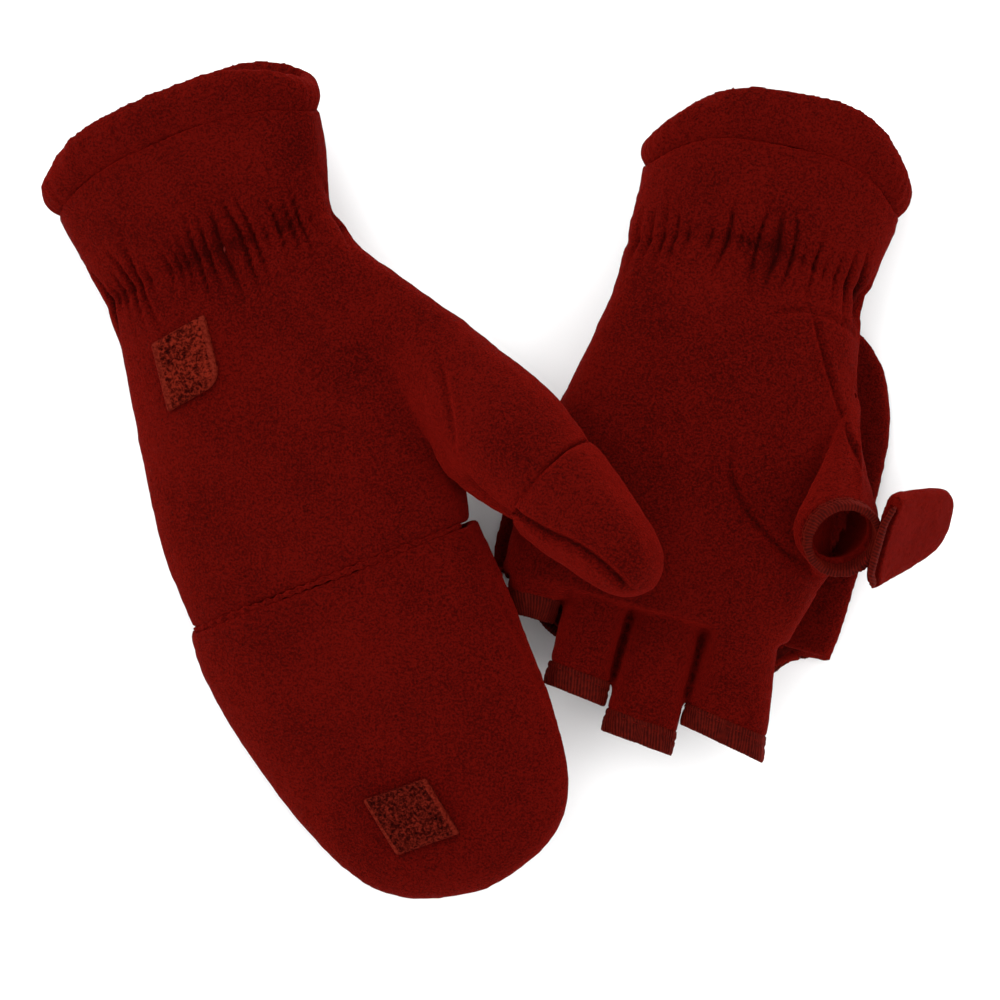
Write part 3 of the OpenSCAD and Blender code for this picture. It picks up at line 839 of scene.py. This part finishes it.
def band(glove, name, node, island, toward, stuff=None, rib=1.1, lean=0.3,
         swell=0.3, stitch_at=None, voxel=0.45):
    """A knitted band round an opening: a soft ribbed strip, pinched along its row of stitches."""
    points, faces = island
    ring = Ring(points, toward, glove.axes[2])
    obj = new_object(name, points, faces)
    remesh(obj, voxel)
    mesh = obj.data
    co = smoothed(points_of(mesh), edges_of(mesh), 5)
    set_points(mesh, co)
    n = normals_of(mesh)
    turn, along, _ = ring.place(co)
    share = ring.share(turn)
    out = step(0.1, 0.7, (n * ring.outward(co)).sum(1))
    ribs = round(ring.length / rib)
    wave = np.sin(TAU * (share * ribs + lean * along / rib))
    push = 0.09 * wave + out * swell * (1 - (along / ring.half) ** 2) + 0.12 * noise(co / MM, 3.1, 51)
    if stitch_at is not None:
        push = push - 0.28 * out * hill(along - stitch_at, 0.5)
    set_points(mesh, co + n * push[:, None] * MM)
    weave_map(mesh, share, along, ring.length)
    swing_thumb(glove, obj)
    finished(obj, stuff or BINDING, BODY_OF[node], [node])
    if stitch_at is not None:
        ring.centre = points_of(mesh).mean(0)
        path, up = ring_path(mesh, ring, stitch_at)
        stitches(name + "_stitches", path, up, BODY_OF[node], closed=True)
    return obj


def tree_of(mesh):
    return BVHTree.FromPolygons([v.co for v in mesh.vertices], [tuple(f.vertices) for f in mesh.polygons])


def ring_path(mesh, ring, along, count=72):
    """Points on the outside of a band, at one distance along its axis."""
    tree = tree_of(mesh)
    path, up = [], []
    for turn in np.arange(count) / count:
        way = ring.u * math.cos(TAU * turn) + ring.v * math.sin(TAU * turn)
        start = ring.centre + ring.axis * along * MM + way * 0.05
        hit = tree.ray_cast(Vector(start), Vector(-way))
        if hit[0]:
            path.append(np.array(hit[0]))
            up.append(way)
    return np.array(path), np.array(up)


def stitches(name, path, up, body, stitch=2.1, gap=1.0, thick=0.34, rise=0.1, closed=False):
    """A row of thread stitches: short arched capsules that dip into the cloth at both ends."""
    if closed:
        path, up = np.vstack([path, path[:1]]), np.vstack([up, up[:1]])
    run = np.concatenate([[0], np.cumsum(np.linalg.norm(np.diff(path, axis=0), axis=1))]) / MM

    def at(s, values):
        return np.array([np.interp(s, run, values[:, k]) for k in range(3)])

    count = max(1, round(run[-1] / (stitch + gap)))
    pitch = run[-1] / count
    vertices, faces = [], []
    bands, sides = 6, 7
    for i in range(count):
        base = len(vertices)
        start = i * pitch + gap / 2
        length = pitch - gap
        for k in range(bands + 1):
            t = k / bands
            s = start + t * length
            middle = at(s, path)
            ahead = at(min(s + 0.2, run[-1]), path) - at(max(s - 0.2, 0), path)
            ahead /= np.linalg.norm(ahead)
            lift = at(s, up)
            lift /= np.linalg.norm(lift)
            across = np.cross(ahead, lift)
            middle = middle + lift * (rise * math.sin(math.pi * t) - 0.1 * (1 - math.sin(math.pi * t))) * MM
            r = thick / 2 * (0.25 + 0.75 * math.sqrt(max(math.sin(math.pi * t), 0))) * MM
            for j in range(sides):
                a = TAU * j / sides
                vertices.append(middle + r * (math.cos(a) * across + math.sin(a) * lift))
        for k in range(bands):
            for j in range(sides):
                a, b = base + k * sides + j, base + k * sides + (j + 1) % sides
                faces.append((a, b, b + sides, a + sides))
        faces.append(tuple(base + j for j in reversed(range(sides))))
        faces.append(tuple(base + bands * sides + j for j in range(sides)))
    obj = new_object(name, vertices, faces)
    return finished(obj, THREAD, body)


def strip(glove, name, part, body, voxel=0.5, rib=1.1):
    """A binding along an edge that doesn't close on itself, with the same slanting ribs."""
    node = glove.node(part)
    obj = joined(name, [node], 0.2)
    remesh(obj, voxel)
    mesh = obj.data
    co = smoothed(points_of(mesh), edges_of(mesh), 4)
    set_points(mesh, co)
    spread = (co - co.mean(0)) / MM
    ways = np.linalg.eigh(spread.T @ spread)[1]
    u, v = spread @ ways[:, 2], spread @ ways[:, 1]
    push = 0.09 * np.sin(TAU * (u + 0.3 * v) / rib) + 0.1 * noise(co / MM, 3.1, 52)
    set_points(mesh, co + normals_of(mesh) * push[:, None] * MM)
    loops = corners_of(mesh)
    write_weave(mesh, u[loops], v[loops])
    return finished(obj, BINDING, body, [node])


# How far the folded cap's binding is drawn back into its flattened pouch.
FOLDED_BINDING_IN = 3.0


def build_bindings(glove):
    hand = BODY_OF[glove.node("back_panel")]
    node = glove.node("finger_bindings")
    rings = sorted(islands(node), key=lambda k: glove.local(k[0])[:, 0].mean())
    for finger, island in zip(("index", "middle", "ring", "little"), rings):
        band(glove, glove.side + "_" + finger + "_binding", node, island, glove.axes[1], stitch_at=-1.7)
    node = glove.node("thumb_binding")
    root = points_of(frame["nodes"][glove.node("thumb_stall")].data).mean(0)
    for island in islands(node):
        band(glove, glove.side + "_thumb_edge_binding", node, island, island[0].mean(0) - root,
             stitch_at=-1.4)
    node = glove.node("wrist_elastic")
    for island in islands(node):
        band(glove, glove.side + "_wrist_elastic_band", node, island, glove.axes[1], ELASTIC,
             rib=1.6, lean=0.0, swell=-0.6, voxel=0.7)
    edge = strip(glove, glove.side + "_cap_mouth_binding", "cap_binding", BODY_OF[glove.node("cap_binding")])
    if glove.side == "left":
        p = glove.local(points_of(edge.data))
        set_points(edge.data, glove.world(p - np.array([0, FOLDED_BINDING_IN, 0])))
    edge = strip(glove, glove.side + "_thumb_cap_mouth_binding", "thumb_cap_binding",
                 BODY_OF[glove.node("thumb_cap_binding")], 0.45)
    tuck(glove, edge)
    swing_thumb(glove, edge)
    build_welt(glove, hand)


def welt_shape(glove, p, n):
    """The small humps between the welt's stitches."""
    return 0.22 * np.sin(TAU * p[:, 0] / 3.6 + 2 * noise(p, 8, 61)) + 0.2 * noise(p, 2.2, 62)


def build_welt(glove, body):
    """The sewn hinge of the finger cap: a raised welt."""
    fleece(glove, glove.side + "_cap_welt", ("cap_seam",), body, voxel=0.5, rounds=3, shape=welt_shape,
           amount=0.05, grow=0.15)


# ---------------------------------------------------------------- linings

def lining(glove, name, part, body):
    """A lining panel: the CAD panel cut finer, then rumpled as one sheet."""
    node = glove.node(part)
    obj = joined(name, [node])
    b = bmesh.new()
    b.from_mesh(obj.data)
    bmesh.ops.subdivide_edges(b, edges=b.edges[:], cuts=3, use_grid_fill=True)
    bmesh.ops.triangulate(b, faces=[f for f in b.faces if len(f.verts) > 4])
    b.to_mesh(obj.data)
    b.free()
    co = points_of(obj.data)
    p = glove.local(co)
    rumple = 0.35 * noise(p, 13, 71) + 0.2 * noise(p, 6, 72)
    set_points(obj.data, glove.world(p + np.outer(rumple, (0.2, 0.2, 1))))
    return finished(obj, LINING, body, [node])


def build_linings(glove):
    for part in ("back_lining", "palm_lining"):
        lining(glove, glove.side + "_" + part + "_cloth", part, BODY_OF[glove.node(part)])
    for part in ("cap_back_lining", "cap_palm_lining"):
        obj = lining(glove, glove.side + "_" + part + "_cloth", part, None)
        blended(obj, glove.nodes("cap_back"), glove.nodes("cap_palm"))


# ---------------------------------------------------------------- hook and loop patches

# Each patch's width and length, how far its top and bottom rise per millimetre of X and its sides lean per
# millimetre of Y (it was sewn out of square), how wide its selvedges are, the radius of its corners at
# (-X, -Y), (+X, -Y), (-X, +Y) and (+X, +Y), and the size of its tangles, in millimetres.
PATCHES = {
    "hook_patch": dict(size=(18, 19.3), rise=0.131, lean=0.12, selvedge=(1.3, 2.1),
                       corners=(0.8, 0.8, 4.5, 0.8), knots=(1.15, 0.6), seed=81),
    "loop_patch": dict(size=(19.3, 17.8), rise=-0.03, lean=-0.17, selvedge=(1.1, 1.1),
                       corners=(0.8, 0.8, 0.8, 0.8), knots=(0.95, 0.5), seed=91),
}
# The grid a patch is made on, in millimetres.
PATCH_STEP = 0.22


def corner_inset(v, half, low, high):
    """How far a rounded corner pulls the side in at height v."""
    inset = 0.0
    for radius, past in ((low, -v - half + low), (high, v - half + high)):
        if past > 0:
            inset = max(inset, radius - math.sqrt(max(radius ** 2 - past ** 2, 0)))
    return inset


def patch(glove, part, stuff, facing):
    """A square of hook or loop tape: a field of tangled loops between two woven selvedges."""
    spec = PATCHES[part]
    node = glove.node(part)
    points = glove.local(points_of(frame["nodes"][node].data))
    middle = (points.min(0) + points.max(0)) / 2
    x, y, z = points[:, 0] - middle[0], points[:, 1] - middle[1], points[:, 2]
    terms = np.stack([np.ones(len(x)), x, y, x * x, x * y, y * y], axis=1)
    fit = np.linalg.lstsq(terms, z, rcond=None)[0]
    half_w, half_h = spec["size"][0] / 2, spec["size"][1] / 2
    columns = round(2 * half_w / PATCH_STEP)
    rows = round(2 * half_h / PATCH_STEP)
    flat = []
    for j in range(rows + 1):
        v = (2 * j / rows - 1) * half_h
        left = -half_w + corner_inset(v, half_h, spec["corners"][0], spec["corners"][2])
        right = half_w - corner_inset(v, half_h, spec["corners"][1], spec["corners"][3])
        for i in range(columns + 1):
            u = left + (right - left) * i / columns
            flat.append((u, v, u - left, right - u))
    flat = np.array(flat)
    u, v = flat[:, 0], flat[:, 1]
    px, py = u + spec["lean"] * v, v + spec["rise"] * u
    base = (np.stack([np.ones(len(px)), px, py, px * px, px * py, py * py], axis=1) @ fit)
    q = np.stack([u, v, u * 0], axis=1)
    big, small = spec["knots"]
    seed = spec["seed"]
    tangle = (0.55 * (1 - 2 * np.abs(noise(q, big, seed))) + 0.4 * (1 - 2 * np.abs(noise(q, small, seed + 1)))
              + 0.25 * noise(q, 2.6, seed + 2))
    woven = 0.1 * np.sin(TAU * (v + 0.4 * u) / 0.8)
    edge = np.minimum(flat[:, 2] - spec["selvedge"][0], flat[:, 3] - spec["selvedge"][1])
    pile = step(-0.15, 0.25, edge)
    border = step(0, 0.5, np.minimum(half_h - np.abs(v), np.minimum(flat[:, 2], flat[:, 3])))
    height = 0.95 + pile * 0.55 * tangle + (1 - pile) * (0.25 + woven)
    height = height * (0.35 + 0.65 * border)
    surface = np.stack([middle[0] + px, middle[1] + py, base + facing * height], axis=1)
    under = surface.copy()
    under[:, 2] = base - facing * 0.9
    count = columns + 1
    faces, selvedge_faces = [], []
    for j in range(rows):
        for i in range(columns):
            a = j * count + i
            faces.append((a, a + 1, a + count + 1, a + count))
            selvedge_faces.append(pile[a] < 0.5)
    rim = ([i for i in range(count)] + [j * count + columns for j in range(1, rows + 1)]
           + [rows * count + i for i in range(columns - 1, -1, -1)]
           + [j * count for j in range(rows - 1, 0, -1)])
    shift = len(surface)
    lower = [shift + k for k in range(len(rim))]
    for k in range(len(rim)):
        m = (k + 1) % len(rim)
        faces.append((rim[k], lower[k], lower[m], rim[m]))
    faces.append(tuple(reversed(lower)))
    vertices = np.vstack([surface, under[rim]])
    obj = new_object(glove.side + "_" + part + "_tape", glove.world(vertices), faces)
    finished(obj, stuff, BODY_OF[node], [node])
    obj.data.materials.append(SELVEDGE)
    for face, plain in zip(obj.data.polygons, selvedge_faces):
        face.material_index = int(plain)
    return obj


def build_patches(glove):
    folded = -1 if glove.side == "left" else 1
    patch(glove, "hook_patch", HOOKS, 1)
    patch(glove, "loop_patch", LOOPS, folded)


# ---------------------------------------------------------------- floor, light and camera

# The camera looks straight down. The picture is VIEW_WIDTH across at the height FOCUS_Z, in metres.
SENSOR_MM = 36
VIEW_WIDTH = 0.2778
CAMERA_HEIGHT = 9.0
FOCUS_Z = 0.022
CAMERA_X, CAMERA_Y = -0.0041, -0.0052


# Half the floor's side, and how far it lies under the gloves, in metres.
FLOOR_HALF, FLOOR_BELOW = 3.0, 0.0002


def build_stage():
    h = FLOOR_HALF
    floor = new_object("floor", [(-h, -h, 0), (h, -h, 0), (h, h, 0), (-h, h, 0)], [(0, 1, 2, 3)])
    m, nodes, links = material("pale_floor")
    out = nodes.new("ShaderNodeOutputMaterial")
    shader = nodes.new("ShaderNodeBsdfPrincipled")
    shader.inputs["Base Color"].default_value = (0.92, 0.92, 0.92, 1)
    shader.inputs["Roughness"].default_value = 0.9
    shader.inputs["Specular IOR Level"].default_value = 0.1
    links.new(shader.outputs["BSDF"], out.inputs["Surface"])
    floor.data.materials.append(m)
    floor.location.z = -FLOOR_BELOW


def area_light(name, place, size, power):
    """A soft square light aimed at the middle of the floor, in metres and watts."""
    data = bpy.data.lights.new(name, "AREA")
    data.shape = "SQUARE"
    data.size = size
    data.energy = power
    obj = bpy.data.objects.new(name, data)
    bpy.context.scene.collection.objects.link(obj)
    obj.location = place
    obj.rotation_euler = (-Vector(place)).to_track_quat("-Z", "Y").to_euler()


def build_light():
    world = bpy.data.worlds.new("studio")
    bpy.context.scene.world = world
    world.use_nodes = True
    world.node_tree.nodes["Background"].inputs["Color"].default_value = (1, 1, 1, 1)
    world.node_tree.nodes["Background"].inputs["Strength"].default_value = 1.5
    area_light("key", (-0.5, 0.7, 1.1), size=0.9, power=12)
    area_light("fill", (0.8, -0.3, 1.0), size=1.0, power=5)


def build_camera():
    data = bpy.data.cameras.new("camera")
    data.sensor_width = SENSOR_MM
    data.lens = SENSOR_MM * (CAMERA_HEIGHT - FOCUS_Z) / VIEW_WIDTH
    data.clip_end = 30
    obj = bpy.data.objects.new("camera", data)
    bpy.context.scene.collection.objects.link(obj)
    obj.location = (CAMERA_X, CAMERA_Y, CAMERA_HEIGHT)
    bpy.context.scene.camera = obj


build_stage()
build_light()
build_camera()
for side in SIDES:
    glove = Glove(side)
    build_glove(glove)
    build_bindings(glove)
    build_linings(glove)
    build_patches(glove)

bpy.context.scene.view_settings.view_transform = "Standard"
